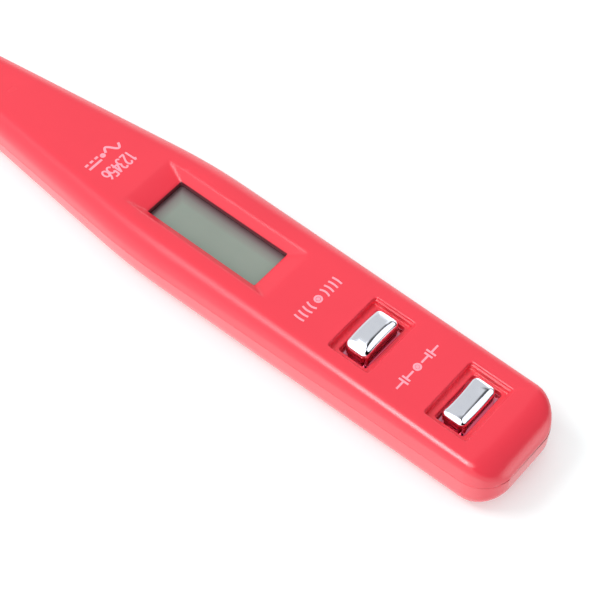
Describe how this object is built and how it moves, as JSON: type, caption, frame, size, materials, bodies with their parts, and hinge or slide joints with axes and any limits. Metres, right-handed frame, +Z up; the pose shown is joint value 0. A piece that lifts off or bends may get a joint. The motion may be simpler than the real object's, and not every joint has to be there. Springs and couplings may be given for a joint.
{
  "type": "pen-type voltage tester",
  "caption": "Pen-type mains voltage tester with a small display, two sprung chrome touch buttons and an insulated probe blade.",
  "frame": {"origin": "centre of the bounding box's underside, on the flat back of the case", "axes": "+X along the pen from the blade towards the butt, +Z up out of the display, +Y across the pen"},
  "size_m": [0.1358, 0.0196, 0.0118],
  "materials": {
    "case_plastic": "glossy moulded",
    "screw_steel": "zinc plated",
    "button_chrome": "mirror plated",
    "spring_steel": "drawn wire",
    "display_face": "satin film",
    "display_glass": "polished",
    "cell_resin": "matte",
    "display_back": "satin film",
    "connector_rubber": "matte",
    "board_laminate": "satin laminate",
    "copper": "etched foil",
    "chip_resin": "satin resin",
    "resistor_coat": "lacquer",
    "tinned_wire": "tinned",
    "diode_glass": "glassy",
    "capacitor_sleeve": "shrunk film",
    "ceramic_coat": "dipped resin",
    "solder": "bright solder",
    "tab_brass": "stamped",
    "probe_steel": "nickel plated",
    "sleeve_plastic": "glossy tube"
  },
  "bodies": {
    "case": {"front_shell": "case_plastic", "rear_shell": "case_plastic", "case_screw": "screw_steel", "sense_spring": "spring_steel", "contact_spring": "spring_steel", "front_polariser": "display_face", "front_glass": "display_glass", "cell_seal": "cell_resin", "rear_glass": "display_glass", "rear_reflector": "display_back", "zebra_strips": "connector_rubber", "circuit_board": "board_laminate", "copper_pads": "copper", "driver_chip": "chip_resin", "series_resistors": "resistor_coat", "resistor_leads": "tinned_wire", "signal_diodes": "diode_glass", "diode_leads": "tinned_wire", "filter_capacitor": "capacitor_sleeve", "capacitor_leads": "tinned_wire", "disc_capacitors": "ceramic_coat", "solder_joints": "solder", "probe_tab": "tab_brass", "probe_spring": "spring_steel", "probe_shaft": "probe_steel", "probe_sleeve": "sleeve_plastic"},
    "sense_button": {"sense_button": "button_chrome"},
    "contact_button": {"contact_button": "button_chrome"}
  },
  "joints": [
    {"name": "sense_press", "type": "slide", "parent": "case", "child": "sense_button", "axis": [0, 0, -1], "range_m": [0, 0.0006], "stiffness_N_per_m": 800, "springref_m": -0.0005, "deforming": ["sense_spring"]},
    {"name": "contact_press", "type": "slide", "parent": "case", "child": "contact_button", "axis": [0, 0, -1], "range_m": [0, 0.0006], "stiffness_N_per_m": 800, "springref_m": -0.0005, "deforming": ["contact_spring"]}
  ]
}
